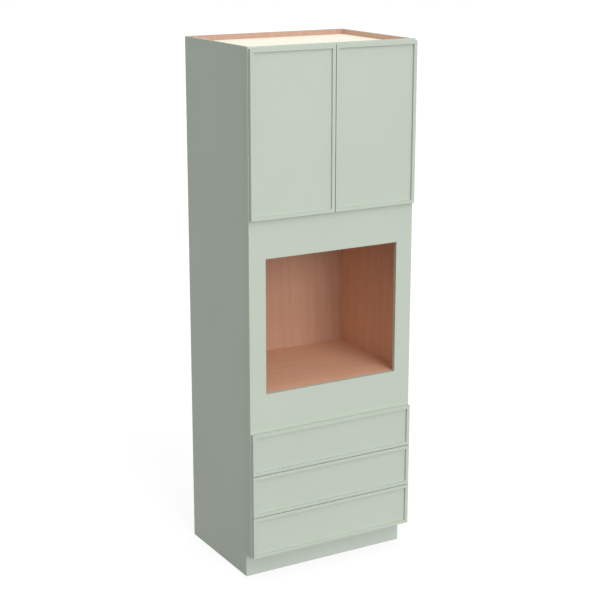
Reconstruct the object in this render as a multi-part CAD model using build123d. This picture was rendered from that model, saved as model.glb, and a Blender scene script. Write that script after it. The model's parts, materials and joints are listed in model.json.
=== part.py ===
"""Tall oven cabinet with a face frame, two doors, an open oven bay and three drawers.

Millimetres. +X is the viewer's right, +Y runs from the doors to the back, +Z is up.
The origin is the middle of the base of the whole object's box.
"""

from build123d import *
import os

os.makedirs("parts", exist_ok=True)

# Whole cabinet: width is over the side panels, and depth is from the face frame's front to their back edge
cabinet_width = 838.2
cabinet_height = 2438.4
cabinet_depth = 609.6

# Sheets of the carcass
side_thickness = 12.7
sheet_thickness = 12.7
deck_thickness = 19.05
back_thickness = 6.35
dado_depth = 5.0
deck_shoulder = 6.35
back_groove = 6.35
top_recess = 23.0

# Toe kick
toe_height = 114.3
toe_recess = 61.0
toe_board_thickness = 12.7

# Face frame: it stands past the side panels by its overhang
frame_thickness = 19.05
frame_overhang = 6.35
stile_width = 38.1
top_rail_height = 38.1
bottom_rail_height = 38.1
drawer_rail_height = 38.1

# Oven cut-out in the face frame: the floor of the bay is level with its bottom edge
cutout_width = 685.8
cutout_height = 622.3
cutout_bottom = 895.0

# Doors and drawer fronts
front_thickness = 19.05
front_gap = 3.2
side_reveal = 3.2
bumper_gap = 1.5
slim_face = 16.0
panel_setback = 9.5
panel_lap = 8.0
front_ease = 0.8
door_bottom = 1695.5
door_top_reveal = 6.35
drawer_bottom = 118.5
drawer_front_height = 197.6
drawer_count = 3
rail_overlap = 28.6

# Hanging rails behind the back panel, and cleats under the floor of the bay
rail_board_height = 88.9
rail_board_thickness = 15.875
cleat_height = 38.1
cleat_thickness = 19.05

# Adjustable shelf
shelf_thickness = 19.05
shelf_end_gap = 2.0
shelf_front_setback = 30.0
shelf_back_gap = 3.0
pin_radius = 2.5
pin_depth = 9.0
pin_fit = 0.05
pin_end_gap = 1.0
pin_inset = 64.0
pin_pitch = 32.0
pin_rows = 3
pin_tab = 12.0
pin_tab_thickness = 1.4

# Drawer boxes
box_height = 127.0
box_rear_gap = 42.775
box_board = 15.875
box_lift = 12.7
box_floor_thickness = 6.35
box_floor_rise = 12.7
groove_depth = 6.35
groove_play = 0.25
tail_count = 3
tail_width = 24.0
tail_flare = 3.0

# Full-extension drawer slides
slide_width = 12.7
slide_height = 45.0
slide_gauge = 1.2
slide_play = 0.3
slide_setback = 2.0
slide_end_gap = 12.7
slide_rise = 50.0
channel_lip = 2.3
bracket_gauge = 2.0
bracket_overlap = 40.0
bracket_side_gap = 2.0
bracket_height = 40.0

# Concealed hinge: distances are inwards from the door's hinge edge and backwards from the frame's front
hinge_inset = 90.0
cup_radius = 17.5
cup_inset = 22.5
cup_depth = 8.0
cup_fit = 0.1
cup_wall = 1.0
cup_floor = 0.8
wing_width = 24.0
wing_reach = 26.0
wing_thickness = 1.0
wing_clear = 6.5
link_half_width = 3.5
link_gauge = 2.2
link_eye_radius = 2.3
frame_pivot_in = 42.0
frame_pivot_back = 12.0
door_pivot_in = 11.6
door_pivot_back = -5.2
pivot_radius = 1.2
pivot_fit = 0.05
ear_gauge = 1.6
ear_gap = 0.5
ear_radius = 4.0
arm_gauge = 1.5
arm_front = 3.0
arm_half_height = 22.0
link_bends = [(19.0, -6.5), (33.2, -5.0), (37.3, -0.7), (41.6, 5.0)]

# Rubber bumpers behind the doors
bumper_radius = 5.0
bumper_thickness = 1.2
bumper_inset = 30.0

# Planes worked out from the sizes above
front_y = -(cabinet_depth + front_thickness + bumper_gap) / 2
front_back_y = front_y + front_thickness
frame_y = front_back_y + bumper_gap
frame_back_y = frame_y + frame_thickness
back_y = frame_y + cabinet_depth
hanging_rail_y = back_y - rail_board_thickness
back_panel_y = hanging_rail_y - back_thickness
toe_y = frame_y + toe_recess
half_width = cabinet_width / 2
inner_half = half_width - side_thickness
frame_half = half_width + frame_overhang
stile_inner = frame_half - stile_width
cutout_half = cutout_width / 2
front_half = frame_half - side_reveal
cabinet_floor = toe_height + bottom_rail_height
cutout_top = cutout_bottom + cutout_height
deck_underside = cutout_bottom - deck_thickness
cupboard_floor = door_bottom + rail_overlap
well_floor = cabinet_height - top_recess
cupboard_ceiling = well_floor - sheet_thickness
door_height = cabinet_height - door_top_reveal - door_bottom
drawer_pitch = drawer_front_height + front_gap
drawer_bank_top = drawer_bottom + drawer_count * drawer_pitch - front_gap
shelf_underside = (cupboard_floor + cupboard_ceiling - shelf_thickness) / 2
box_depth = back_panel_y - box_rear_gap - front_back_y
slide_length = box_depth - slide_end_gap


def block(x, y, z):
    """A box between two corners, each axis given as (low, high)."""
    sizes = [high - low for low, high in (x, y, z)]
    middle = [(high + low) / 2 for low, high in (x, y, z)]
    return Pos(*middle) * Box(*sizes)


def mirrored(shape):
    """The same shape on the other side of the cabinet."""
    return mirror(shape, about=Plane.YZ)


def solids_of(shapes):
    """Every solid in a list of shapes."""
    return [solid for shape in shapes for solid in shape.solids()]


def save(name, *shapes):
    """Writes one sub-part; several like pieces stay separate solids."""
    solids = solids_of(shapes)
    whole = solids[0] if len(solids) == 1 else Compound(solids)
    export_step(whole, f"parts/{name}.step")


def cylinder_along(axis, radius, start, length):
    """A round bar that starts at a point and runs along an axis."""
    turn = {"X": Rot(0, 90, 0), "Y": Rot(-90, 0, 0), "Z": Rot(0, 0, 0)}[axis]
    align = (Align.CENTER, Align.CENTER, Align.MIN)
    return Pos(*start) * turn * Cylinder(radius, length, align=align)


def drawer_levels(index):
    """Front bottom, opening bottom and box bottom of one drawer."""
    front = drawer_bottom + index * drawer_pitch
    opening = cabinet_floor if index == 0 else drawer_rail_levels(index - 1)[1]
    return front, opening, opening + box_lift


def drawer_rail_levels(index):
    """Bottom and top of the rail behind the gap above one drawer front."""
    middle = drawer_bottom + (index + 1) * drawer_pitch - front_gap / 2
    return middle - drawer_rail_height / 2, middle + drawer_rail_height / 2


# Carcass


def housed_sheet(bottom, top):
    """A level sheet held in grooves in both side panels."""
    reach = inner_half + dado_depth
    return block((-reach, reach), (frame_back_y, back_panel_y), (bottom, top))


def shouldered_deck(bottom, top):
    """The bay's floor: a thick sheet whose thinner tongues are held in the side panels."""
    deck = block((-inner_half, inner_half), (frame_back_y, back_panel_y), (bottom, top))
    return deck + housed_sheet(bottom, top - deck_shoulder)


def shelf_pin_holes():
    """Positions (y, z) of the shelf pin holes in a side panel."""
    columns = (frame_back_y + pin_inset, back_panel_y - pin_inset)
    lowest = shelf_underside - pin_tab_thickness - pin_radius - pin_pitch * (pin_rows // 2)
    return [(y, lowest + row * pin_pitch) for y in columns for row in range(pin_rows)]


def right_side_panel(sheets):
    """Side panel with its toe notch, shelf pin holes, and grooves for the sheets and the back."""
    panel = block((inner_half, half_width), (frame_back_y, back_y), (0, cabinet_height))
    panel -= block((inner_half, half_width), (frame_back_y, toe_y + toe_board_thickness), (0, toe_height))
    groove_z = (cabinet_floor - sheet_thickness, cabinet_height)
    panel -= block((inner_half, inner_half + back_groove), (back_panel_y, hanging_rail_y), groove_z)
    for sheet in sheets:
        panel -= sheet
    for y, z in shelf_pin_holes():
        panel -= cylinder_along("X", pin_radius + pin_fit, (inner_half, y, z), pin_depth)
    return panel


def make_carcass():
    """Side panels, decks, back, hanging rails, cleats and the toe-kick board."""
    top = housed_sheet(cupboard_ceiling, well_floor)
    upper_deck = housed_sheet(cupboard_floor - sheet_thickness, cupboard_floor)
    oven_deck = shouldered_deck(deck_underside, cutout_bottom)
    bottom = housed_sheet(cabinet_floor - sheet_thickness, cabinet_floor)
    side = right_side_panel([top, upper_deck, oven_deck, bottom])
    save("right_side_panel", side)
    save("left_side_panel", mirrored(side))
    save("top_panel", top)
    save("upper_deck", upper_deck)
    save("oven_deck", oven_deck)
    save("bottom_panel", bottom)

    back_reach = inner_half + back_groove
    back_z = (cabinet_floor - sheet_thickness, cabinet_height)
    save("back_panel", block((-back_reach, back_reach), (back_panel_y, hanging_rail_y), back_z))

    rails = [
        block((-inner_half, inner_half), (hanging_rail_y, back_y), (top_level - rail_board_height, top_level))
        for top_level in (cabinet_height, cutout_bottom, cabinet_floor + rail_board_height)
    ]
    save("hanging_rails", *rails)

    cleat = block(
        (inner_half - cleat_thickness, inner_half),
        (frame_back_y, back_panel_y),
        (deck_underside - cleat_height, deck_underside),
    )
    save("oven_deck_cleats", cleat, mirrored(cleat))

    toe_board = block((-half_width, half_width), (toe_y, toe_y + toe_board_thickness), (0, toe_height))
    save("toe_kick_board", toe_board)


def make_face_frame():
    """Stiles, rails and the filler stiles that narrow the oven cut-out."""
    depth = (frame_y, frame_back_y)
    between = (-stile_inner, stile_inner)
    stile = block((stile_inner, frame_half), depth, (toe_height, cabinet_height))
    filler = block((cutout_half, stile_inner), depth, (cutout_bottom, cutout_top))
    save("right_stile", stile)
    save("left_stile", mirrored(stile))
    save("oven_right_filler", filler)
    save("oven_left_filler", mirrored(filler))
    save("top_rail", block(between, depth, (cabinet_height - top_rail_height, cabinet_height)))
    save("oven_upper_rail", block(between, depth, (cutout_top, cupboard_floor)))
    save("oven_lower_rail", block(between, depth, (drawer_bank_top - rail_overlap, cutout_bottom)))
    save("bottom_rail", block(between, depth, (toe_height, cabinet_floor)))
    drawer_rails = [
        block(between, depth, drawer_rail_levels(index))
        for index in range(drawer_count - 1)
    ]
    save("drawer_rails", *drawer_rails)


def shelf_pin(y):
    """A pin with a flat tab that the shelf lies on, at the right side panel."""
    pin_z = shelf_underside - pin_tab_thickness - pin_radius
    pin_start = (inner_half - pin_tab_thickness, y, pin_z)
    pin = cylinder_along("X", pin_radius, pin_start, pin_tab_thickness + pin_depth - pin_end_gap)
    upright = (pin_z - pin_tab / 2, shelf_underside)
    tab_y = (y - pin_tab / 2, y + pin_tab / 2)
    plate = block((inner_half - pin_tab_thickness, inner_half), tab_y, upright)
    tab = block(
        (inner_half - pin_tab_thickness - pin_tab, inner_half - pin_tab_thickness),
        tab_y,
        (shelf_underside - pin_tab_thickness, shelf_underside),
    )
    return pin + plate + tab


def make_shelf():
    """The adjustable cupboard shelf and the four pins that it lies on."""
    reach = inner_half - shelf_end_gap
    shelf_y = (frame_back_y + shelf_front_setback, back_panel_y - shelf_back_gap)
    shelf_z = (shelf_underside, shelf_underside + shelf_thickness)
    save("cupboard_shelf", block((-reach, reach), shelf_y, shelf_z))
    pins = [shelf_pin(y) for y in (frame_back_y + pin_inset, back_panel_y - pin_inset)]
    save("shelf_pins", *pins, *[mirrored(pin) for pin in pins])


# Slim-shaker fronts


def slim_front(x, z):
    """Stiles, rails and panel of a front: a thin raised border round a flat rebated panel."""
    (left, right), (bottom, top) = x, z
    whole = block(x, (front_y, front_back_y), z)
    whole = fillet(whole.faces().sort_by(Axis.Y)[0].edges(), front_ease)
    lip = slim_face - panel_lap
    panel_y = front_y + panel_setback

    def stile(edge, inwards):
        outer = sorted((edge, edge + inwards * lip))
        face = sorted((edge, edge + inwards * slim_face))
        return block(outer, (front_y, front_back_y), z) + block(face, (front_y, panel_y), z)

    def rail(edge, inwards):
        outer = sorted((edge, edge + inwards * lip))
        face = sorted((edge, edge + inwards * slim_face))
        return block(x, (front_y, front_back_y), outer) + block(x, (front_y, panel_y), face)

    stiles = [stile(left, 1) & whole, stile(right, -1) & whole]
    rails = [
        (rail(edge, inwards) & whole) - stiles[0] - stiles[1]
        for edge, inwards in ((top, -1), (bottom, 1))
    ]
    panel = block((left + lip, right - lip), (panel_y, front_back_y), (bottom + lip, top - lip))
    return stiles, rails, panel


# Concealed hinges, worked out for the right door and mirrored for the left


def hinge_x(inwards):
    """A distance from the hinge edge as a place on the X axis."""
    return front_half - inwards


def hinge_point(inwards, backwards):
    """A point of the hinge in plan."""
    return (hinge_x(inwards), frame_y + backwards)


def hinge_levels():
    """Heights of the two hinges of a door."""
    return (door_bottom + hinge_inset, door_bottom + door_height - hinge_inset)


def cup_pocket(level):
    """The round pocket bored for a hinge cup in the back of the door."""
    start = (hinge_x(cup_inset), front_back_y - cup_depth, level)
    return cylinder_along("Y", cup_radius, start, cup_depth)


def plan_prism(sketch, level, low, high):
    """A plan outline raised between two heights about a hinge."""
    return extrude(Pos(0, 0, level + low) * sketch, high - low)


def hinge_cup(level):
    """Cup with two screw wings, two cheeks and the pivot pin between them."""
    centre = hinge_x(cup_inset)
    bottom_y = front_back_y - cup_depth
    cup = cylinder_along("Y", cup_radius - cup_fit, (centre, bottom_y, level), cup_depth)
    wings = block(
        (centre - wing_width / 2, centre + wing_width / 2),
        (front_back_y, front_back_y + wing_thickness),
        (level - wing_reach, level + wing_reach),
    )
    wings -= block(
        (centre - wing_width, centre + wing_width),
        (front_back_y, front_back_y + wing_thickness),
        (level - wing_clear, level + wing_clear),
    )
    hollow_radius = cup_radius - cup_fit - cup_wall
    hollow_y = bottom_y + cup_floor
    hollow = cylinder_along("Y", hollow_radius, (centre, hollow_y, level), cup_depth + wing_thickness)
    cup = cup + wings - hollow
    pivot = hinge_point(door_pivot_in, door_pivot_back)
    inner = link_half_width + ear_gap
    outer = inner + ear_gauge
    cheek_x = (pivot[0] - ear_radius, pivot[0] + ear_radius)
    for low, high in ((inner, outer), (-outer, -inner)):
        cup += block(cheek_x, (hollow_y, pivot[1] + link_eye_radius), (level + low, level + high))
    pin = cylinder_along("Z", pivot_radius, (*pivot, level - outer), 2 * outer)
    return cup + pin


def hinge_link(level):
    """Cranked link that runs from the frame arm, round the frame's edge, into the cup."""
    door_pivot = hinge_point(door_pivot_in, door_pivot_back)
    frame_pivot = hinge_point(frame_pivot_in, frame_pivot_back)
    route = [door_pivot, *[hinge_point(*bend) for bend in link_bends], frame_pivot]
    outline = trace(Polyline(*route), link_gauge)
    for pivot in (door_pivot, frame_pivot):
        outline += Pos(*pivot) * Circle(link_eye_radius)
    for pivot in (door_pivot, frame_pivot):
        outline -= Pos(*pivot) * Circle(pivot_radius + pivot_fit)
    return plan_prism(outline, level, -link_half_width, link_half_width)


def hinge_arm(level):
    """Arm screwed to the edge of the frame's stile, with two ears and the pivot pin."""
    edge = stile_inner
    plate = block(
        (edge - arm_gauge, edge),
        (frame_y + arm_front, frame_back_y),
        (level - arm_half_height, level + arm_half_height),
    )
    pivot = hinge_point(frame_pivot_in, frame_pivot_back)
    root_y = (pivot[1] - ear_radius, pivot[1] + ear_radius)
    ear = Pos(*pivot) * Circle(ear_radius)
    ear += Pos((pivot[0] + edge) / 2, pivot[1]) * Rectangle(edge - pivot[0], root_y[1] - root_y[0])
    inner = link_half_width + ear_gap
    outer = inner + ear_gauge
    arm = plate
    past_edge = block((edge, frame_half), root_y, (level - outer, level + outer))
    for low, high in ((inner, outer), (-outer, -inner)):
        arm += plan_prism(ear, level, low, high) - past_edge
    return arm + cylinder_along("Z", pivot_radius, (*pivot, level - outer), 2 * outer)


def door_bumpers():
    """Two rubber bumpers behind the free edge, at the top and the bottom of the door."""
    levels = (door_bottom + rail_overlap / 2, door_bottom + door_height - rail_overlap / 2)
    starts = [(bumper_inset, front_back_y, level) for level in levels]
    return [cylinder_along("Y", bumper_radius, start, bumper_thickness) for start in starts]


def make_doors():
    """Both doors with their hinges."""
    stiles, rails, panel = slim_front((front_gap / 2, front_half), (door_bottom, door_bottom + door_height))
    for level in hinge_levels():
        pocket = cup_pocket(level)
        stiles[1] -= pocket
        panel -= pocket
    pieces = {
        "door_stiles": stiles,
        "door_rails": rails,
        "door_panel": [panel],
        "door_bumpers": door_bumpers(),
        "hinge_cups": [hinge_cup(level) for level in hinge_levels()],
        "hinge_links": [hinge_link(level) for level in hinge_levels()],
        "hinge_arms": [hinge_arm(level) for level in hinge_levels()],
    }
    for name, shapes in pieces.items():
        save(f"right_{name}", *shapes)
        save(f"left_{name}", *[mirrored(shape) for shape in shapes])


# Drawers


def channel(web_x, tip_x, half_height, y, level):
    """A sheet-steel channel with its web at one side, along Y."""
    inwards = 1 if tip_x > web_x else -1
    x = sorted((web_x, tip_x))
    hollow_x = sorted((web_x + inwards * slide_gauge, tip_x))
    inside = half_height - slide_gauge
    whole = block(x, y, (level - half_height, level + half_height))
    return whole - block(hollow_x, y, (level - inside, level + inside))


def slide_members(level):
    """Cabinet, middle and drawer members of the slide on the right of a drawer."""
    y = (frame_y + slide_setback, frame_y + slide_setback + slide_length)
    box_face = stile_inner - slide_width
    step = slide_gauge + slide_play
    half = slide_height / 2
    cabinet = channel(stile_inner, box_face + channel_lip, half, y, level)
    middle = channel(stile_inner - step, box_face + slide_gauge + slide_play, half - step, y, level)
    drawer = channel(box_face, stile_inner - 2 * step, half - 2 * step, y, level)
    return cabinet, middle, drawer


def rear_bracket(level):
    """Angle that carries the back end of a cabinet member at the back panel."""
    slide_end = frame_y + slide_setback + slide_length
    z = (level - bracket_height / 2, level + bracket_height / 2)
    web = block((stile_inner, stile_inner + bracket_gauge), (slide_end - bracket_overlap, back_panel_y), z)
    foot_x = (stile_inner, inner_half - bracket_side_gap)
    foot = block(foot_x, (back_panel_y - bracket_gauge, back_panel_y), z)
    return web + foot


def dovetails(x, y_end, y_shoulder, box_bottom):
    """Tails of a drawer side, wider at its end than at its shoulder."""
    pitch = box_height / tail_count
    tails = []
    for index in range(tail_count):
        middle = box_bottom + (index + 0.5) * pitch
        wide = tail_width / 2 + tail_flare
        narrow = tail_width / 2
        corners = [
            (x[0], y_end, middle - wide),
            (x[0], y_end, middle + wide),
            (x[0], y_shoulder, middle + narrow),
            (x[0], y_shoulder, middle - narrow),
        ]
        face = make_face(Polyline(*corners, close=True))
        tails.append(extrude(face, x[1] - x[0], dir=(1, 0, 0)))
    return tails


def drawer_box(bottom):
    """Sides, ends and floor of a dovetailed drawer box."""
    outside = stile_inner - slide_width
    inside = outside - box_board
    start, end = front_back_y, front_back_y + box_depth
    z = (bottom, bottom + box_height)
    corners = [(start, start + box_board), (end, end - box_board)]
    side = block((inside, outside), (start, end), z)
    ends = []
    for y_end, y_shoulder in corners:
        tails = dovetails((inside, outside), y_end, y_shoulder, bottom)
        y = sorted((y_end, y_shoulder))
        board = block((-outside, outside), y, z)
        pins = block((inside, outside), y, z)
        for tail in tails:
            board = board - tail - mirrored(tail)
            pins -= tail
        side -= pins
        ends.append(board)
    floor_z = (bottom + box_floor_rise, bottom + box_floor_rise + box_floor_thickness)
    floor_y = (start + box_board - groove_depth, end - box_board + groove_depth)
    reach = inside + groove_depth
    groove = block((-reach, reach), floor_y, floor_z)
    play = groove_play
    floor = block((-reach + play, reach - play), (floor_y[0] + play, floor_y[1] - play), floor_z)
    sides = [side - groove, mirrored(side - groove)]
    return sides, [board - groove for board in ends], floor


def make_drawers():
    """Fronts, boxes and slides of all the drawers."""
    cabinet_members = []
    brackets = []
    for index in range(drawer_count):
        front_bottom, _, box_bottom = drawer_levels(index)
        name = f"drawer_{index + 1}"
        front_z = (front_bottom, front_bottom + drawer_front_height)
        stiles, rails, panel = slim_front((-front_half, front_half), front_z)
        sides, ends, floor = drawer_box(box_bottom)
        level = box_bottom + slide_rise
        cabinet, middle, drawer = slide_members(level)
        bracket = rear_bracket(level)
        cabinet_members += [cabinet, mirrored(cabinet)]
        brackets += [bracket, mirrored(bracket)]
        save(f"{name}_front_frame", *stiles, *rails)
        save(f"{name}_front_panel", panel)
        save(f"{name}_box_sides", *sides)
        save(f"{name}_box_ends", *ends)
        save(f"{name}_box_floor", floor)
        save(f"{name}_slide_inner_members", drawer, mirrored(drawer))
        save(f"{name}_slide_middle_members", middle, mirrored(middle))
    save("slide_cabinet_members", *cabinet_members)
    save("slide_rear_brackets", *brackets)


make_carcass()
make_face_frame()
make_shelf()
make_doors()
make_drawers()
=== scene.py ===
from collections import namedtuple
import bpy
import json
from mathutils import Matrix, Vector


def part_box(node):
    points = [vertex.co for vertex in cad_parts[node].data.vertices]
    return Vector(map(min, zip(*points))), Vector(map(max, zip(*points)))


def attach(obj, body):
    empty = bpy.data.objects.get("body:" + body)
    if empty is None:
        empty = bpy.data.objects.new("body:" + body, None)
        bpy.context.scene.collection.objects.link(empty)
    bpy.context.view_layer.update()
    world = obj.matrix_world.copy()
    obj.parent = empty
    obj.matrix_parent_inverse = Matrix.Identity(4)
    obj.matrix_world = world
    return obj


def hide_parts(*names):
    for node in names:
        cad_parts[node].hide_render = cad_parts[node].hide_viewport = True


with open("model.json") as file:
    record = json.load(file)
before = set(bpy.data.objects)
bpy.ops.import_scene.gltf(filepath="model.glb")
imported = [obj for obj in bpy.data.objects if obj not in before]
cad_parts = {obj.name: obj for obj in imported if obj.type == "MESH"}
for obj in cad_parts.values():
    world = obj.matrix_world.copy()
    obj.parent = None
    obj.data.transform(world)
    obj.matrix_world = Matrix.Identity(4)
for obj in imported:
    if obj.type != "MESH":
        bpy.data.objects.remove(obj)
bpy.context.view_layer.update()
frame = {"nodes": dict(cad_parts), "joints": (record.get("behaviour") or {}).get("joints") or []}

from fnmatch import fnmatch
from itertools import product
import json
import math

import bmesh
import bpy
from mathutils import Color, Matrix, Vector

# Colours, as sRGB; the tones of one colour run from light to dark

SAGE = (0.741, 0.777, 0.727)
SAGE_SHADE = (0.731, 0.767, 0.717)
WOOD = ((0.836, 0.661, 0.553), (0.812, 0.633, 0.527), (0.782, 0.598, 0.490))
# The maple is pale wood made almost white, partly painted light that stands in for the strong light on the
# top panel
MAPLE_PAINTED_BRIGHT = ((0.990, 0.983, 0.920), (0.984, 0.973, 0.898), (0.966, 0.946, 0.852))
PLY_LAYER = (0.30, 0.19, 0.12)
END_GRAIN = (0.42, 0.26, 0.17)
ZINC = (0.78, 0.79, 0.80)
NICKEL = (0.80, 0.78, 0.74)
RUBBER = ((0.90, 0.91, 0.90), (0.82, 0.83, 0.82))

# Factors on the linear colour of one piece, or of the part of it that stands above the top panel. They are
# painted light and shade: pieces of one wood or paint made lighter or darker to match how light falls on
# them

PLAIN = (1, 1, 1)
BACK_PAINTED_SHADE = (0.768, 0.748, 0.742)
WELL_BACK_PAINTED_LIGHT = (1.02, 1.12, 1.285)
SIDE_PAINTED_LIGHT = (1.21, 1.23, 1.21)
WELL_SIDE_PAINTED_SHADE = (0.828, 0.892, 1.0)
DECK_PAINTED_LIGHT = (1.27, 1.31, 1.29)
TOE_PAINTED_LIGHT = (1.09, 1.08, 1.12)

# Finish: the span that holds most of a noise, the roughness over that span, and the gloss

NOISE_SPAN = (0.3, 0.7)
PAINT_ROUGHNESS = (0.46, 0.56)
WOOD_ROUGHNESS = (0.42, 0.55)
RUBBER_ROUGHNESS = (0.35, 0.5)
STEEL_ROUGHNESS_SPREAD = (-0.06, 0.08)
PAINT_SPECULAR = 0.22
WOOD_SPECULAR = 0.3
MAPLE_SPECULAR = 0.5

# The share of a steel's colour that is left in its clouds

STEEL_CLOUD = 0.92

# Where a board's look changes, in metres: the floor of the well, and how deep a face's own look goes

WELL_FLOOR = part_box("top_panel")[1].z
FACE_DEPTH = 0.0006

# Edges and ends of the boards: how many plies there are, and how strongly plies and end grain show

BACK_PLIES = 5
SIDE_PLIES = 9
PLY_STRENGTH = 0.28
PLY_WANDER = (0.02, 0.14)
END_SPECKLE = (0.22, 0.48)

# A mix node's colour sockets, which share their names with its other sockets

MIX_FACTOR = 0
MIX_FIRST = 6
MIX_SECOND = 7
MIX_RESULT = 2


def linear(colour, factor=PLAIN):
    """An sRGB colour as the linear colour that a shader socket takes, times a factor for each channel."""
    channels = Color(colour).from_srgb_to_scene_linear()
    return (*(channel * share for channel, share in zip(channels, factor)), 1.0)


def grey(level):
    """A linear grey."""
    return (level, level, level, 1.0)


def even(cells):
    """A scale that is the same along each axis."""
    return (cells, cells, cells)


def stretched(axis, across, along):
    """A scale that draws a pattern out along one axis."""
    return tuple(along if letter == axis else across for letter in "XYZ")


class Nodes:
    """The node tree of a material or of the world, under construction."""

    def __init__(self, owner, output_kind):
        owner.use_nodes = True
        self.tree = owner.node_tree
        self.tree.nodes.clear()
        self.output = self.node(output_kind)

    def node(self, kind, sockets=None, **settings):
        """A new node. Its sockets, by name or number, take a value or the output of another node."""
        made = self.tree.nodes.new(kind)
        for name, value in settings.items():
            setattr(made, name, value)
        for name, value in (sockets or {}).items():
            if isinstance(value, bpy.types.NodeSocket):
                self.tree.links.new(value, made.inputs[name])
            else:
                made.inputs[name].default_value = value
        return made

    def math(self, operation, first, second):
        return self.node("ShaderNodeMath", {0: first, 1: second}, operation=operation).outputs["Value"]

    def end(self, shader):
        """Makes a shader the surface of the whole tree."""
        self.tree.links.new(shader, self.output.inputs["Surface"])

    def end_by_sight(self, lit, seen):
        """Ends with one shader for the light on the object, and one for what is seen or mirrored."""
        rays = self.node("ShaderNodeLightPath").outputs
        sight = self.math("MAXIMUM", rays["Is Camera Ray"], rays["Is Glossy Ray"])
        sight = self.math("MAXIMUM", sight, rays["Is Transmission Ray"])
        self.end(self.node("ShaderNodeMixShader", {"Fac": sight, 1: lit, 2: seen}).outputs["Shader"])


class Look(Nodes):
    """A procedural material under construction; its patterns lie on the object's own coordinates."""

    def __init__(self, name):
        self.material = bpy.data.materials.new(name)
        super().__init__(self.material, "ShaderNodeOutputMaterial")
        self.coords = self.node("ShaderNodeTexCoord").outputs["Object"]

    def scaled(self, scale):
        """The object's coordinates times a scale, which is the number of cells to the metre."""
        return self.node("ShaderNodeMapping", {"Vector": self.coords, "Scale": scale}).outputs["Vector"]

    def axis(self, letter):
        """One of the object's coordinates, in metres."""
        return self.node("ShaderNodeSeparateXYZ", {"Vector": self.coords}).outputs[letter]

    def beyond(self, letter, place):
        """1 where one of the object's coordinates is more than a place, and 0 elsewhere."""
        return self.math("GREATER_THAN", self.axis(letter), place)

    def noise(self, scale, detail, roughness=0.5):
        sockets = {"Vector": self.scaled(scale), "Scale": 1.0, "Detail": detail, "Roughness": roughness}
        return self.node("ShaderNodeTexNoise", sockets).outputs["Fac"]

    def weighted(self, *shares):
        """The sum of several values, each times its own weight."""
        total, *others = [self.math("MULTIPLY", value, weight) for value, weight in shares]
        for other in others:
            total = self.math("ADD", total, other)
        return total

    def ramp(self, value, stops):
        """Colours that pass into each other between places of a value."""
        made = self.node("ShaderNodeValToRGB", {"Fac": value})
        elements = made.color_ramp.elements
        while len(elements) < len(stops):
            elements.new(0.5)
        for element, (position, colour) in zip(elements, stops):
            element.position = position
            element.color = colour
        return made.outputs["Color"]

    def remap(self, value, span, to):
        """A value moved from one span to another, and held inside it."""
        sockets = {"Value": value, "From Min": span[0], "From Max": span[1]}
        sockets.update({"To Min": to[0], "To Max": to[1]})
        return self.node("ShaderNodeMapRange", sockets).outputs["Result"]

    def mix(self, factor, first, second, blend="MIX"):
        sockets = {MIX_FACTOR: factor, MIX_FIRST: first, MIX_SECOND: second}
        return self.node("ShaderNodeMix", sockets, data_type="RGBA", blend_type=blend).outputs[MIX_RESULT]

    def bump(self, height, distance, strength):
        sockets = {"Height": height, "Distance": distance, "Strength": strength}
        return self.node("ShaderNodeBump", sockets).outputs["Normal"]

    def finish(self, colour, roughness, normal, **constants):
        """Ends the material as one surface. The constants are set on the shader's own sockets."""
        sockets = {"Base Color": colour, "Roughness": roughness, "Normal": normal}
        sockets.update({name.replace("_", " "): value for name, value in constants.items()})
        self.end(self.node("ShaderNodeBsdfPrincipled", sockets).outputs["BSDF"])
        return self.material


# Patterns of the materials

def paint_parts(look, grain_axis, factor=PLAIN):
    """Colour, roughness and height of the sprayed satin paint, with the wood just telling through."""
    cloud = look.noise(even(2.2), detail=3)
    colour = look.ramp(cloud, [(0.35, linear(SAGE_SHADE, factor)), (0.65, linear(SAGE, factor))])
    spray = look.noise(even(420), detail=2, roughness=0.6)
    grain = look.noise(stretched(grain_axis, across=260, along=9), detail=3, roughness=0.55)
    roughness = look.remap(look.noise(even(55), detail=3), NOISE_SPAN, PAINT_ROUGHNESS)
    return colour, roughness, look.weighted((spray, 0.6), (grain, 0.4))


def wood_parts(look, axis, tones, factor=PLAIN):
    """Colour, roughness and height of clear-coated wood whose grain runs along an axis."""
    light, middle, dark = (linear(tone, factor) for tone in tones)
    warp = look.noise(stretched(axis, across=5, along=0.8), detail=2)
    bands = {"Vector": look.scaled(stretched(axis, across=9, along=0.55)), "Scale": 1.0,
             "Distortion": 7.0, "Detail": 2.0, "Detail Scale": 0.9}
    waves = look.node("ShaderNodeTexWave", bands, wave_type="BANDS", bands_direction="DIAGONAL")
    fibre = look.noise(stretched(axis, across=330, along=7), detail=4, roughness=0.6)
    pores = look.noise(stretched(axis, across=900, along=26), detail=2)
    tone = look.weighted((waves.outputs["Fac"], 0.08), (fibre, 0.77), (warp, 0.15))
    colour = look.ramp(tone, [(0.30, dark), (0.48, middle), (0.66, light)])
    pored = look.remap(pores, span=(0.64, 0.74), to=(0.0, 0.6))
    colour = look.mix(pored, colour, dark)
    return colour, look.remap(fibre, NOISE_SPAN, WOOD_ROUGHNESS), look.weighted((fibre, 0.7), (pored, -0.8))


def painted_well_shading(look, colour, factor):
    """Painted light and shade: another tone for the strip that stands above the top panel."""
    toned = look.mix(1.0, colour, (*factor, 1.0), blend="MULTIPLY")
    return look.mix(look.beyond("Z", WELL_FLOOR), colour, toned)


def plied(look, colour, axis, low, high, plies, mask):
    """Darker layers in the edge of a sheet whose thickness runs from low to high along an axis."""
    layer = look.remap(look.axis(axis), span=(low, high), to=(0.0, float(plies)))
    odd = look.math("GREATER_THAN", look.math("MODULO", layer, 2.0), 1.0)
    wander = look.remap(look.noise(even(700), detail=2), NOISE_SPAN, PLY_WANDER)
    depth = look.math("ADD", look.math("MULTIPLY", odd, PLY_STRENGTH), wander)
    return look.mix(look.math("MULTIPLY", mask, depth), colour, linear(PLY_LAYER))


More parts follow.
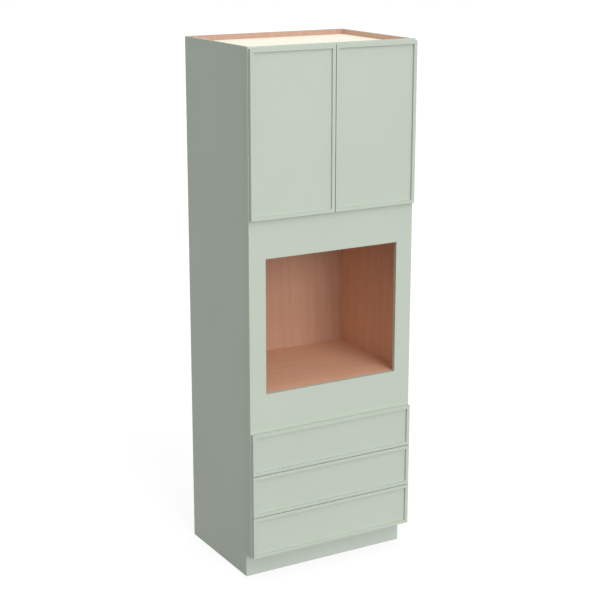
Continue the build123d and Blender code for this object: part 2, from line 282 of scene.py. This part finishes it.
def end_grained(look, colour, axis, low, high):
    """Darker, speckled end grain on both end faces of a board that runs from low to high along an axis."""
    near = look.math("LESS_THAN", look.axis(axis), low + FACE_DEPTH)
    ends = look.math("MAXIMUM", near, look.beyond(axis, high - FACE_DEPTH))
    depth = look.remap(look.noise(even(900), detail=3), span=(0.35, 0.65), to=END_SPECKLE)
    return look.mix(look.math("MULTIPLY", ends, depth), colour, linear(END_GRAIN))


# Materials

def painted(name, grain_axis, factor=PLAIN):
    look = Look(name)
    colour, roughness, height = paint_parts(look, grain_axis, factor)
    bump = look.bump(height, distance=0.00006, strength=0.4)
    return look.finish(colour, roughness, bump, Specular_IOR_Level=PAINT_SPECULAR)


def wooden(name, axis, tones=WOOD, factor=PLAIN, specular=WOOD_SPECULAR,
           well_painted_shading=None, ply=None, ends=None):
    """Clear-coated wood. Plies show along the top of the node ply, and end grain on the node ends."""
    look = Look(name)
    colour, roughness, height = wood_parts(look, axis, tones, factor)
    # Painted light and shade: the strip above the top panel gets a tone of its own
    if well_painted_shading:
        colour = painted_well_shading(look, colour, well_painted_shading)
    if ply:
        low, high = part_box(ply)
        colour = plied(look, colour, "Y", low.y, high.y, BACK_PLIES, look.beyond("Z", high.z - FACE_DEPTH))
    if ends:
        low, high = (corner["XYZ".index(axis)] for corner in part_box(ends))
        colour = end_grained(look, colour, axis, low, high)
    bump = look.bump(height, distance=0.00015, strength=0.5)
    return look.finish(colour, roughness, bump, Specular_IOR_Level=specular)


def side_panel(name, sign):
    """Painted on the outside and along the top edge, clear-coated wood inside, plies in the back edge."""
    look = Look(name)
    low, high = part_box(name)
    paint, paint_roughness, paint_height = paint_parts(look, "Z")
    # Painted light: the wood inside is made lighter than the plain wood
    wood, wood_roughness, wood_height = wood_parts(look, "Z", WOOD, SIDE_PAINTED_LIGHT)
    # Painted shade on the strip of the inside wood that stands above the top panel
    wood = painted_well_shading(look, wood, WELL_SIDE_PAINTED_SHADE)
    wood = plied(look, wood, "X", low.x, high.x, SIDE_PLIES, look.beyond("Y", high.y - FACE_DEPTH))
    outer_face = max(abs(low.x), abs(high.x))
    outwards = look.math("MULTIPLY", look.axis("X"), float(sign))
    outside = look.math("GREATER_THAN", outwards, outer_face - FACE_DEPTH)
    covered = look.math("MAXIMUM", outside, look.beyond("Z", high.z - FACE_DEPTH))
    colour = look.mix(covered, wood, paint)
    roughness = look.mix(covered, wood_roughness, paint_roughness)
    bump = look.bump(look.mix(covered, wood_height, paint_height), distance=0.00013, strength=0.5)
    return look.finish(colour, roughness, bump, Specular_IOR_Level=PAINT_SPECULAR)


def steel(name, colour, axis, roughness):
    """Rolled sheet steel with fine draw lines along an axis and faint plating clouds."""
    look = Look(name)
    lines = look.noise(stretched(axis, across=1500, along=18), detail=2)
    clouds = look.noise(even(35), detail=4, roughness=0.65)
    clouded = tuple(channel * STEEL_CLOUD for channel in colour)
    tone = look.ramp(clouds, [(0.3, linear(clouded)), (0.7, linear(colour))])
    spread = [roughness + way for way in STEEL_ROUGHNESS_SPREAD]
    rough = look.remap(look.weighted((lines, 0.5), (clouds, 0.5)), NOISE_SPAN, spread)
    return look.finish(tone, rough, look.bump(lines, distance=0.00004, strength=0.4), Metallic=1.0)


def rubber(name):
    """Soft clear rubber, a little cloudy."""
    look = Look(name)
    cloud = look.noise(even(300), detail=3)
    light, dark = RUBBER
    tone = look.ramp(cloud, [(0.3, linear(dark)), (0.7, linear(light))])
    roughness = look.remap(cloud, NOISE_SPAN, RUBBER_ROUGHNESS)
    bump = look.bump(cloud, distance=0.0001, strength=0.3)
    return look.finish(tone, roughness, bump, Transmission_Weight=0.35, IOR=1.45)


MATERIALS = {material.name: material for material in (
    painted("paint_x", "X"),
    painted("paint_z", "Z"),
    # Painted light: the toe kick's paint is made lighter, in place of the light its recess keeps out
    painted("paint_toe_painted_light", "X", TOE_PAINTED_LIGHT),
    wooden("wood_x", "X"),
    wooden("wood_y", "Y"),
    wooden("box_side_wood", "Y", ends="drawer_1_box_sides"),
    wooden("box_end_wood", "X", ends="drawer_1_box_ends"),
    # Painted light: the bay's floor is made lighter than the plain wood
    wooden("deck_wood_painted_light", "X", factor=DECK_PAINTED_LIGHT),
    # Painted shade: the back is made darker than the plain wood, and its strip above the top panel takes
    # painted light of its own
    wooden("back_wood_painted_shade", "Z", factor=BACK_PAINTED_SHADE, well_painted_shading=WELL_BACK_PAINTED_LIGHT, ply="back_panel"),
    wooden("rail_wood", "X", ply="hanging_rails"),
    # Painted light: the top panel's near-white maple stands in for the strong light from above
    wooden("maple_painted_bright", "X", MAPLE_PAINTED_BRIGHT, specular=MAPLE_SPECULAR),
    side_panel("left_side_panel", -1),
    side_panel("right_side_panel", 1),
    steel("zinc", ZINC, "Y", roughness=0.32),
    steel("nickel", NICKEL, "Z", roughness=0.24),
    rubber("rubber"),
)}

# Nodes that each material covers, as patterns of their names

COVERED = {
    "left_side_panel": ["left_side_panel"],
    "right_side_panel": ["right_side_panel"],
    "maple_painted_bright": ["top_panel"],
    "back_wood_painted_shade": ["back_panel"],
    "rail_wood": ["hanging_rails"],
    "deck_wood_painted_light": ["oven_deck"],
    "wood_y": ["oven_deck_cleats"],
    "wood_x": ["upper_deck", "bottom_panel", "cupboard_shelf", "drawer_?_box_floor"],
    "box_side_wood": ["drawer_?_box_sides"],
    "box_end_wood": ["drawer_?_box_ends"],
    "paint_toe_painted_light": ["toe_kick_board"],
    "paint_x": ["top_rail", "oven_*_rail", "drawer_rails", "bottom_rail", "*_door_rails",
                "drawer_?_front_*"],
    "paint_z": ["left_stile", "right_stile", "oven_*_filler", "*_door_stiles", "*_door_panel"],
    "zinc": ["slide_*", "drawer_?_slide_*"],
    "nickel": ["shelf_pins", "*_hinge_*"],
    "rubber": ["*_door_bumpers"],
}


def look_of(node):
    """The material of a node."""
    for name, patterns in COVERED.items():
        if any(fnmatch(node, pattern) for pattern in patterns):
            return MATERIALS[name]
    raise ValueError(node)


for node, obj in frame["nodes"].items():
    for slot in obj.material_slots:
        slot.material = look_of(node)

# The two sides, the drawers from the lowest up, and the pivots of the hinges

SIGNS = {"left": -1, "right": 1}
DRAWERS = (1, 2, 3)
PIVOTS = {joint["name"]: joint["pos_m"] for joint in frame["joints"] if joint["type"] == "hinge"}

# Hardware that carries the fastenings, in metres

HINGE_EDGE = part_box("right_door_stiles")[1].x
CUP_RADIUS = 0.0174
CUP_INSET = 0.0225
WING_REACH = 0.026
WING_GAUGE = 0.001
PIVOT_HALF = 0.0056
ARM_GAUGE = 0.0015
ARM_SETBACK = 0.003
SLIDE_GAUGE = 0.0012
BRACKET_GAUGE = 0.002
BOX_BOARD = 0.015875
PIN_TAB_HALF = 0.006
PIN_TAB_GAUGE = 0.0014

# Places of the fastenings, in metres; a rise is up or down from the middle of the hinge or slide

CUP_SCREW_RISE = 0.0217
ARM_SCREW_RISE = 0.0145
SLIDE_SCREWS_ALONG = (0.037, 0.230, 0.420)
FRONT_SCREW_OUT = 0.29
FRONT_SCREW_HEIGHTS = (0.040, 0.095)
BRACKET_SCREW_OUT = 0.0098
BRACKET_SCREW_RISE = 0.011
RIVETS_ALONG = (0.010, 0.028)

# Screws: the head in metres, and in radians how far its recess is turned, by its row and its spot there

Screw = namedtuple("Screw", "radius height first_turn row_turn spot_turn")
CUP_SCREW = Screw(radius=0.0031, height=0.00035, first_turn=0.3, row_turn=0.9, spot_turn=0.434)
ARM_SCREW = Screw(radius=0.0034, height=0.0015, first_turn=0.5, row_turn=1.1, spot_turn=0.3625)
SLIDE_SCREW = Screw(radius=0.0034, height=0.0015, first_turn=0.4, row_turn=1.0, spot_turn=1.3)
FRONT_SCREW = Screw(radius=0.0040, height=0.0018, first_turn=0.2, row_turn=1.0, spot_turn=0.8)
BRACKET_SCREW = Screw(radius=0.0033, height=0.0015, first_turn=0.0, row_turn=0.3, spot_turn=0.33)

# Outlines in shares of a size: radius and height of a screw or bumper, width and height of a flange

SCREW_OUTLINE = ((1, 0), (1, 0.35), (0.95, 0.70), (0.80, 0.95), (0.68, 1))
BUMPER_OUTLINE = ((1, 0), (1, 0.25), (0.95, 0.55), (0.82, 0.80), (0.60, 0.94), (0.30, 1))
FLANGE_OUTLINE = ((0, 0), (0, 0.6), (0.25, 1), (0.7, 1), (1, 0.45), (1, 0))

# Cross recess of a screw, as shares of the head's radius, of its mouth (taper) or of its height (floor)

RECESS_SLOT = 0.13
RECESS_REACH = 0.50
RECESS_TAPER = 0.72
RECESS_FLOOR = 0.12

# Outlines in metres: radius and height of what is turned, reach and drop of a gusset

PIVOT_HEAD = ((0.0019, 0), (0.0019, 0.0002), (0.0015, 0.00042), (0.0008, 0.0005))
RIVET_HEAD = ((0.0026, 0), (0.0026, 0.0003), (0.0020, 0.0009), (0.0010, 0.0011))
WASHER_HEIGHT = 0.0007
WASHER = ((0.0062, 0), (0.0062, 0.0004), (0.0058, WASHER_HEIGHT))
GUSSET_HALF = 0.0006
GUSSET = ((0, 0), (0.0085, 0), (0.0072, 0.0012), (0.0012, 0.0062), (0, 0.0075))

# A cup's flange: how far it reaches to each side of the rim, in metres, and its gap at each end, in radians

FLANGE_INWARDS = 0.0010
FLANGE_OUTWARDS = 0.0014
FLANGE_HEIGHT = 0.0004
FLANGE_GAP = 0.46

# Meshes: steps round a circle, the angle at which an edge is sharp, and two ways in which a face looks

ROUND_STEPS = 24
SHARP_ANGLE = math.radians(32)
BACKWARDS = (0, 1, 0)
FORWARDS = (0, -1, 0)

# Mesh code

def facing(at, way):
    """A placing whose Z axis points out of a surface."""
    turn = Vector((0, 0, 1)).rotation_difference(Vector(way))
    return Matrix.Translation(at) @ turn.to_matrix().to_4x4()


def polar(radius, angle, height):
    return Vector((radius * math.cos(angle), radius * math.sin(angle), height))


def ring(bm, place, radius, height):
    angles = [2 * math.pi * index / ROUND_STEPS for index in range(ROUND_STEPS)]
    return [bm.verts.new(place @ polar(radius, angle, height)) for angle in angles]


def around(loop):
    """Each vertex of a closed loop with the next one."""
    return list(zip(loop, loop[1:] + loop[:1]))


def skin(bm, first, second):
    """Faces between two closed loops of equal length."""
    for (start, end), (far_start, far_end) in zip(around(first), around(second)):
        bm.faces.new((start, end, far_end, far_start))


def sized(outline, width, height):
    """An outline in shares as one in metres."""
    return [(width * out, height * up) for out, up in outline]


def lathed(bm, place, outline):
    """A turned shape from its base upwards, closed underneath; its open top loop is handed back."""
    loops = [ring(bm, place, radius, height) for radius, height in outline]
    bm.faces.new(loops[0][::-1])
    for first, second in zip(loops, loops[1:]):
        skin(bm, first, second)
    return loops[-1]


def add_dome(bm, place, outline):
    bm.faces.new(lathed(bm, place, outline))


def add_screw(bm, place, screw, row, spot):
    """A screw head with a rolled edge and a tapered cross recess, turned by its row and its spot in it."""
    rim = lathed(bm, place, sized(SCREW_OUTLINE, screw.radius, screw.height))
    slot, reach = RECESS_SLOT * screw.radius, RECESS_REACH * screw.radius
    first_turn = screw.first_turn + screw.row_turn * row + screw.spot_turn * spot
    outline = []
    for quarter in range(4):
        turn = Matrix.Rotation(first_turn + quarter * math.pi / 2, 2)
        outline += [turn @ Vector(corner) for corner in ((reach, -slot), (reach, slot), (slot, slot))]
    floor_height = RECESS_FLOOR * screw.height
    mouth = [bm.verts.new(place @ Vector((*at, screw.height))) for at in outline]
    floor = [bm.verts.new(place @ Vector((*(at * RECESS_TAPER), floor_height))) for at in outline]
    skin(bm, floor, mouth)
    bm.faces.new(floor)
    edges = [bm.edges.get(pair) for loop in (rim, mouth) for pair in around(loop)]
    bmesh.ops.triangle_fill(bm, edges=edges, use_beauty=True, normal=place.to_3x3() @ Vector((0, 0, 1)))


def add_flange(bm, place):
    """A rolled flange along half a cup's rim, left open at both ends, where the link passes."""
    inner = CUP_RADIUS - FLANGE_INWARDS
    section = sized(FLANGE_OUTLINE, FLANGE_INWARDS + FLANGE_OUTWARDS, FLANGE_HEIGHT)
    loops = []
    for index in range(ROUND_STEPS + 1):
        angle = FLANGE_GAP + (math.pi - 2 * FLANGE_GAP) * index / ROUND_STEPS
        points = [polar(inner + out, angle, height) for out, height in section]
        loops.append([bm.verts.new(place @ point) for point in points])
    for first, second in zip(loops, loops[1:]):
        skin(bm, first, second)
    bm.faces.new(loops[0])
    bm.faces.new(loops[-1][::-1])


def piece(name, bm, material, body, replaced=None):
    """Turns finished mesh code into an object that rides on a body."""
    bmesh.ops.recalc_face_normals(bm, faces=bm.faces)
    mesh = bpy.data.meshes.new(name)
    bm.to_mesh(mesh)
    bm.free()
    for polygon in mesh.polygons:
        polygon.use_smooth = True
    mesh.set_sharp_from_angle(angle=SHARP_ANGLE)
    mesh.materials.append(MATERIALS[material])
    obj = bpy.data.objects.new(name, mesh)
    bpy.context.collection.objects.link(obj)
    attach(obj, body)
    if replaced:
        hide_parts(replaced)


# Fastenings and trim, built on the hardware that carries them

def hinge_levels(side):
    """Heights of the middles of a door's hinges."""
    low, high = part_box(f"{side}_hinge_cups")
    return low.z + WING_REACH, high.z - WING_REACH


def add_pivot_heads(bm, pivot, level):
    """Rounded heads at both ends of a hinge's pivot pin."""
    for way in (-1, 1):
        at = (pivot[0], pivot[1], level + way * PIVOT_HALF)
        add_dome(bm, facing(at, (0, 0, way)), PIVOT_HEAD)


def add_cup_details(side):
    """On the door: flanges along the cups' rims, screws in their wings, and heads of their pivot pins."""
    x = SIGNS[side] * (HINGE_EDGE - CUP_INSET)
    door_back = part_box(f"{side}_door_panel")[1].y
    flanges, screws = bmesh.new(), bmesh.new()
    for row, level in enumerate(hinge_levels(side)):
        for half in (0, math.pi):
            turn = Matrix.Rotation(half, 4, "Z")
            add_flange(flanges, facing((x, door_back, level), BACKWARDS) @ turn)
        for spot in (-1, 1):
            at = (x, door_back + WING_GAUGE, level + spot * CUP_SCREW_RISE)
            add_screw(screws, facing(at, BACKWARDS), CUP_SCREW, row, spot)
        add_pivot_heads(screws, PIVOTS[f"{side}_door_swing"], level)
    piece(f"{side}_cup_flanges", flanges, "nickel", f"{side}_door")
    piece(f"{side}_cup_screws", screws, "nickel", f"{side}_door")


def add_arm_details(side):
    """On the face frame: screws in the hinge arms, and heads of their pivot pins."""
    sign = SIGNS[side]
    low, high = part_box(f"{side}_stile")
    x = (low if sign > 0 else high).x - sign * ARM_GAUGE
    y = (low.y + ARM_SETBACK + high.y) / 2
    bm = bmesh.new()
    for row, level in enumerate(hinge_levels(side)):
        for spot in (-1, 1):
            place = facing((x, y, level + spot * ARM_SCREW_RISE), (-sign, 0, 0))
            add_screw(bm, place, ARM_SCREW, row, spot)
        add_pivot_heads(bm, PIVOTS[f"{side}_link_swing"], level)
    piece(f"{side}_arm_screws", bm, "nickel", "cabinet")


def add_bumper_domes(side):
    """Soft clear domes in place of the plain bumper discs."""
    low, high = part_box(f"{side}_door_bumpers")
    radius = (high.x - low.x) / 2
    outline = sized(BUMPER_OUTLINE, radius, high.y - low.y)
    bm = bmesh.new()
    for level in (low.z + radius, high.z - radius):
        add_dome(bm, facing(((low.x + high.x) / 2, low.y, level), BACKWARDS), outline)
    piece(f"{side}_bumper_domes", bm, "rubber", f"{side}_door", f"{side}_door_bumpers")


def slide_level(number):
    """Height of the middle of a drawer's slides."""
    low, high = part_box(f"drawer_{number}_slide_inner_members")
    return (low.z + high.z) / 2


def add_drawer_screws(number):
    """Screws that hold the slide members to the box's sides, and the front to the box."""
    low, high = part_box(f"drawer_{number}_box_sides")
    slide_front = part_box(f"drawer_{number}_slide_inner_members")[0].y
    slide_screws, front_screws = bmesh.new(), bmesh.new()
    for sign in (-1, 1):
        for spot, along in enumerate(SLIDE_SCREWS_ALONG):
            at = (sign * (high.x + SLIDE_GAUGE), slide_front + along, slide_level(number))
            add_screw(slide_screws, facing(at, (sign, 0, 0)), SLIDE_SCREW, number, spot)
    for spot, (sign, height) in enumerate(product((-1, 1), FRONT_SCREW_HEIGHTS)):
        place = facing((sign * FRONT_SCREW_OUT, low.y + BOX_BOARD, low.z + height), BACKWARDS)
        add_dome(front_screws, place, WASHER)
        raised = place @ Matrix.Translation((0, 0, WASHER_HEIGHT))
        add_screw(front_screws, raised, FRONT_SCREW, number, spot)
    piece(f"drawer_{number}_slide_screws", slide_screws, "zinc", f"drawer_{number}")
    piece(f"drawer_{number}_front_screws", front_screws, "zinc", f"drawer_{number}")


def add_bracket_screws():
    """Screws through the feet of the rear brackets, and rivets that join them to the slides."""
    low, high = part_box("slide_rear_brackets")
    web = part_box("slide_cabinet_members")[1].x
    bm = bmesh.new()
    for number, sign in product(DRAWERS, (-1, 1)):
        level = slide_level(number)
        for spot in (-1, 1):
            x = sign * (web + BRACKET_SCREW_OUT)
            place = facing((x, high.y - BRACKET_GAUGE, level + spot * BRACKET_SCREW_RISE), FORWARDS)
            add_screw(bm, place, BRACKET_SCREW, number, spot)
        for along in RIVETS_ALONG:
            at = (sign * (web + BRACKET_GAUGE), low.y + along, level)
            add_dome(bm, facing(at, (sign, 0, 0)), RIVET_HEAD)
    piece("bracket_screws", bm, "zinc", "cabinet")


def add_pin_gussets():
    """A small stiffening gusset under the tab of each shelf pin."""
    low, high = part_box("shelf_pins")
    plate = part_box("right_side_panel")[0].x - PIN_TAB_GAUGE
    top = high.z - PIN_TAB_GAUGE
    bm = bmesh.new()
    for sign, middle in product((-1, 1), (low.y + PIN_TAB_HALF, high.y - PIN_TAB_HALF)):
        loops = []
        for y in (middle - GUSSET_HALF, middle + GUSSET_HALF):
            loops.append([bm.verts.new((sign * (plate - reach), y, top - drop)) for reach, drop in GUSSET])
        skin(bm, *loops)
        for loop in loops:
            bm.faces.new(loop)
    piece("shelf_pin_gussets", bm, "nickel", "cabinet")


for side in SIGNS:
    add_cup_details(side)
    add_arm_details(side)
    add_bumper_domes(side)
for number in DRAWERS:
    add_drawer_screws(number)
add_bracket_screws()
add_pin_gussets()

# Floor and world: what lights the object, as a level of grey or a strength, and what the camera sees

FLOOR_HALF = 30
FLOOR_LIT = (0.30, 0.32)
FLOOR_SEEN = 0.25
FLOOR_GLOW = 0.80
WORLD_LIGHT = 0.58
BACKDROP_LIGHT = 1.0
LAMP_DISTANCE = 8

# Camera: metres, radians, and millimetres for the lens and the sensor

CAMERA_AT = Vector((-3.3471, -5.7879, 3.0214))
CAMERA_AZIMUTH = -0.52447
CAMERA_ELEVATION = 0.26337
CAMERA_ROLL = 0.000785
CAMERA_LENS = 88.404
CAMERA_SENSOR = 36
CAMERA_CLIP = 100


def add_floor():
    """A wide floor that looks white, keeps the object's shadow and throws little light back."""
    corners = [(x * FLOOR_HALF, y * FLOOR_HALF, 0) for x, y in ((-1, -1), (1, -1), (1, 1), (-1, 1))]
    mesh = bpy.data.meshes.new("floor")
    mesh.from_pydata(corners, [], [(0, 1, 2, 3)])
    floor = bpy.data.objects.new("floor", mesh)
    bpy.context.collection.objects.link(floor)
    look = Look("floor")
    dark, light = (grey(level) for level in FLOOR_LIT)
    mottle = look.ramp(look.noise(even(0.7), detail=2), [(0.3, dark), (0.7, light)])
    lit = look.node("ShaderNodeBsdfDiffuse", {"Color": mottle})
    pale = look.node("ShaderNodeBsdfDiffuse", {"Color": grey(FLOOR_SEEN)})
    glow = look.node("ShaderNodeEmission", {"Color": grey(1), "Strength": FLOOR_GLOW})
    seen = look.node("ShaderNodeAddShader", {0: pale.outputs["BSDF"], 1: glow.outputs["Emission"]})
    look.end_by_sight(lit.outputs["BSDF"], seen.outputs["Shader"])
    floor.data.materials.append(look.material)


def add_world():
    """Even light from all round, in front of a white backdrop."""
    world = bpy.data.worlds.new("studio")
    bpy.context.scene.world = world
    nodes = Nodes(world, "ShaderNodeOutputWorld")
    light = nodes.node("ShaderNodeBackground", {"Color": grey(1), "Strength": WORLD_LIGHT})
    backdrop = nodes.node("ShaderNodeBackground", {"Color": grey(1), "Strength": BACKDROP_LIGHT})
    nodes.end_by_sight(light.outputs["Background"], backdrop.outputs["Background"])


def direction(azimuth, elevation):
    """The way out from the object; azimuth is measured from straight in front, towards the right."""
    level = Vector((math.sin(azimuth), -math.cos(azimuth), 0)) * math.cos(elevation)
    return level + Vector((0, 0, math.sin(elevation)))


def aimed(at, way, roll=0.0):
    """A placing that looks along a way."""
    turn = way.to_track_quat("-Z", "Y").to_matrix().to_4x4()
    return Matrix.Translation(at) @ turn @ Matrix.Rotation(roll, 4, "Z")


def add_sun(name, azimuth, elevation, softness, strength):
    """A soft distant light, with its angles in degrees."""
    lamp = bpy.data.lights.new(name, "SUN")
    lamp.angle = math.radians(softness)
    lamp.energy = strength * math.pi
    way = direction(math.radians(azimuth), math.radians(elevation))
    obj = bpy.data.objects.new(name, lamp)
    obj.matrix_world = aimed(way * LAMP_DISTANCE, -way)
    bpy.context.collection.objects.link(obj)


def add_camera():
    camera = bpy.data.cameras.new("camera")
    camera.sensor_width = CAMERA_SENSOR
    camera.lens = CAMERA_LENS
    camera.clip_end = CAMERA_CLIP
    obj = bpy.data.objects.new("camera", camera)
    obj.matrix_world = aimed(CAMERA_AT, -direction(CAMERA_AZIMUTH, CAMERA_ELEVATION), CAMERA_ROLL)
    bpy.context.collection.objects.link(obj)
    bpy.context.scene.camera = obj


add_floor()
add_world()
add_sun("low_front", azimuth=0, elevation=13, softness=36, strength=0.515)
add_sun("high_front", azimuth=4, elevation=50, softness=30, strength=0.165)
add_sun("overhead", azimuth=0, elevation=89, softness=30, strength=0.19)
add_camera()
bpy.context.scene.view_settings.view_transform = "Standard"
